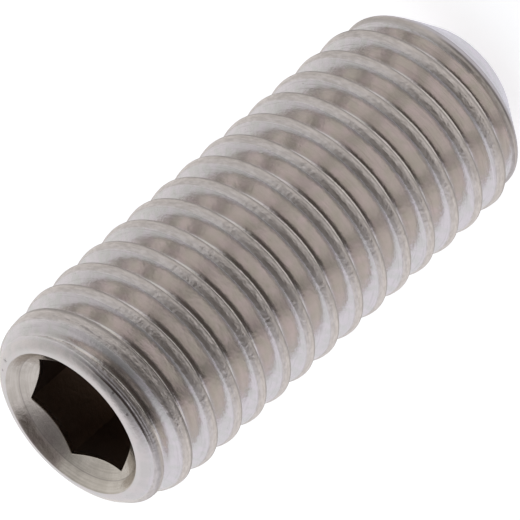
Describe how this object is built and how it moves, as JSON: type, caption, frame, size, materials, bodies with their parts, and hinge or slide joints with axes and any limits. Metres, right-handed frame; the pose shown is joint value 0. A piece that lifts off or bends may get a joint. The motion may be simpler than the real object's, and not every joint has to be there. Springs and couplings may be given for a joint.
{
  "type": "grub set screw",
  "caption": "Headless set screw with a right-hand metric thread over its whole length, a countersunk hex socket in one end and a chamfered cup point at the other.",
  "frame": {"origin": "centre of the cup point's bearing ring, where the screw stands", "axes": "+Z along the screw's axis, from the point towards the hex socket; a corner of the hex lies on +X"},
  "size_m": [0.008, 0.008, 0.0202],
  "materials": {
    "stainless": "bright rolled stainless steel, plain, with fine rolling marks along the thread"
  },
  "bodies": {
    "root": {"screw": "stainless"}
  },
  "joints": []
}
